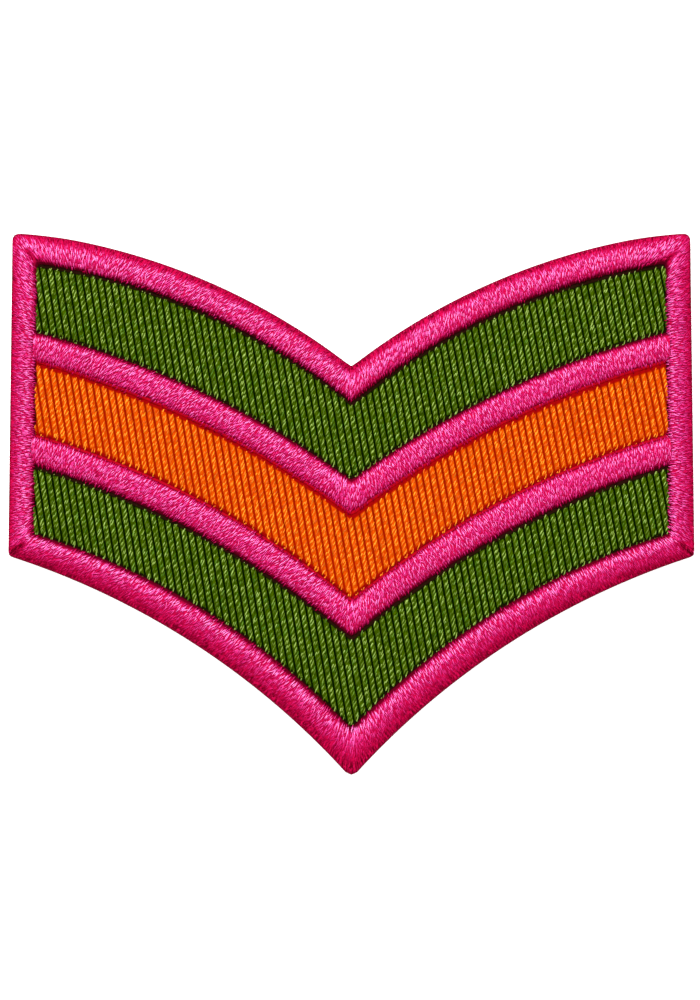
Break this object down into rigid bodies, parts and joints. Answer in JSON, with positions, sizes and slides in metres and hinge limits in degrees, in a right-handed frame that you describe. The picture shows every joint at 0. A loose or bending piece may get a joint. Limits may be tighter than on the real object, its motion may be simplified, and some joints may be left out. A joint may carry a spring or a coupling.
{
  "type": "rank chevron patch",
  "caption": "Flat cloth patch in the form of a downward chevron: twill stripes edged and joined by raised satin-stitched bands, sewn to a sleeve or coat.",
  "frame": {"origin": "middle of the patch in plan, on the underside of the stitching, where it rests on cloth or on a table", "axes": "+X across the patch, +Y from the point towards the upper corners, +Z out of the embroidered face"},
  "size_m": [0.09, 0.0712, 0.0021],
  "materials": {
    "green_twill": "twill weave with steep ribs, dull sheen",
    "orange_twill": "twill weave with steep ribs, dull sheen",
    "pink_satin_stitch": "satin stitch of glossy thread"
  },
  "bodies": {
    "root": {"upper_stripe": "green_twill", "middle_stripe": "orange_twill", "lower_stripe": "green_twill", "outer_border": "pink_satin_stitch", "upper_bar": "pink_satin_stitch", "lower_bar": "pink_satin_stitch"}
  },
  "joints": []
}
